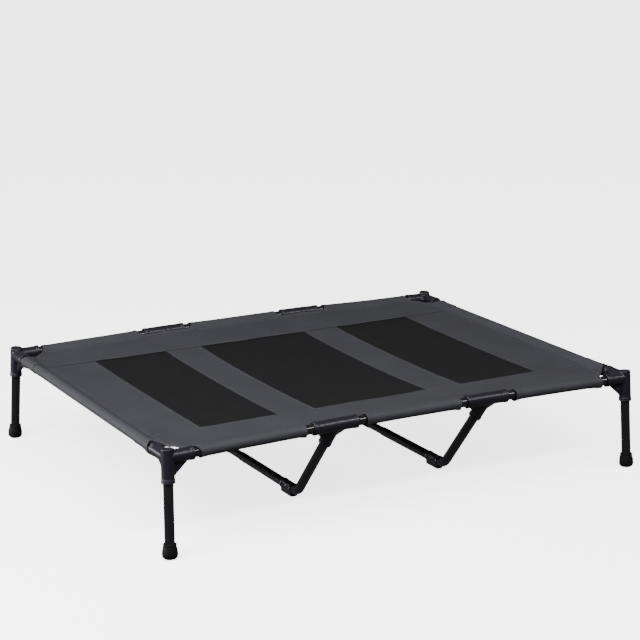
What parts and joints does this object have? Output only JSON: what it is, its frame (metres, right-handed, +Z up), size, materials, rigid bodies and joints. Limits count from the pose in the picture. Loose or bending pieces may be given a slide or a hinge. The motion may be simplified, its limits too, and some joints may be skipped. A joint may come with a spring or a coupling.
{
  "type": "raised dog bed",
  "caption": "Raised dog cot: plugged steel tube frame on splayed legs with rubber feet, two bent middle supports and a stretched deck of coated cloth and mesh.",
  "frame": {"origin": "middle of the footprint, on the floor", "axes": "+X along the long rails, +Y towards the back long rail, +Z up"},
  "size_m": [1.2102, 0.923, 0.2342],
  "materials": {
    "black_tube": "glossy black powder coat",
    "black_moulding": "satin moulded polypropylene",
    "black_rubber": "matte rubber",
    "coated_cloth": "dark grey coated oxford weave",
    "open_mesh": "black open textile mesh"
  },
  "bodies": {
    "cot": {"corner_connector_front_left": "black_moulding", "corner_connector_front_right": "black_moulding", "corner_connector_back_left": "black_moulding", "corner_connector_back_right": "black_moulding", "long_rail_front_left": "black_tube", "long_rail_front_right": "black_tube", "long_rail_back_left": "black_tube", "long_rail_back_right": "black_tube", "long_rail_front_middle": "black_tube", "long_rail_back_middle": "black_tube", "short_rail_front_left": "black_tube", "short_rail_front_right": "black_tube", "short_rail_back_left": "black_tube", "short_rail_back_right": "black_tube", "tee_connector_front_left": "black_moulding", "tee_connector_front_right": "black_moulding", "tee_connector_back_left": "black_moulding", "tee_connector_back_right": "black_moulding", "support_leg_front_left": "black_tube", "support_leg_front_right": "black_tube", "support_leg_back_left": "black_tube", "support_leg_back_right": "black_tube", "floor_coupling_front_left": "black_moulding", "floor_coupling_front_right": "black_moulding", "floor_coupling_back_left": "black_moulding", "floor_coupling_back_right": "black_moulding", "crossbar_front_left": "black_tube", "crossbar_front_right": "black_tube", "crossbar_back_left": "black_tube", "crossbar_back_right": "black_tube", "side_strip_front": "coated_cloth", "side_strip_back": "coated_cloth", "end_panel_left": "coated_cloth", "end_panel_right": "coated_cloth", "cross_strip_left": "coated_cloth", "cross_strip_right": "coated_cloth", "mesh_panel_left": "open_mesh", "mesh_panel_middle": "open_mesh", "mesh_panel_right": "open_mesh"},
    "leg_front_left": {"corner_leg_front_left": "black_tube", "foot_cap_front_left": "black_rubber"},
    "leg_front_right": {"corner_leg_front_right": "black_tube", "foot_cap_front_right": "black_rubber"},
    "leg_back_left": {"corner_leg_back_left": "black_tube", "foot_cap_back_left": "black_rubber"},
    "leg_back_right": {"corner_leg_back_right": "black_tube", "foot_cap_back_right": "black_rubber"}
  },
  "joints": [
    {"name": "leg_pull_front_left", "type": "slide", "parent": "cot", "child": "leg_front_left", "axis": [-0.0244, -0.075, -0.9969], "range_m": [0, 0.038]},
    {"name": "leg_pull_front_right", "type": "slide", "parent": "cot", "child": "leg_front_right", "axis": [0.0244, -0.075, -0.9969], "range_m": [0, 0.038]},
    {"name": "leg_pull_back_left", "type": "slide", "parent": "cot", "child": "leg_back_left", "axis": [-0.0244, 0.075, -0.9969], "range_m": [0, 0.038]},
    {"name": "leg_pull_back_right", "type": "slide", "parent": "cot", "child": "leg_back_right", "axis": [0.0244, 0.075, -0.9969], "range_m": [0, 0.038]}
  ]
}
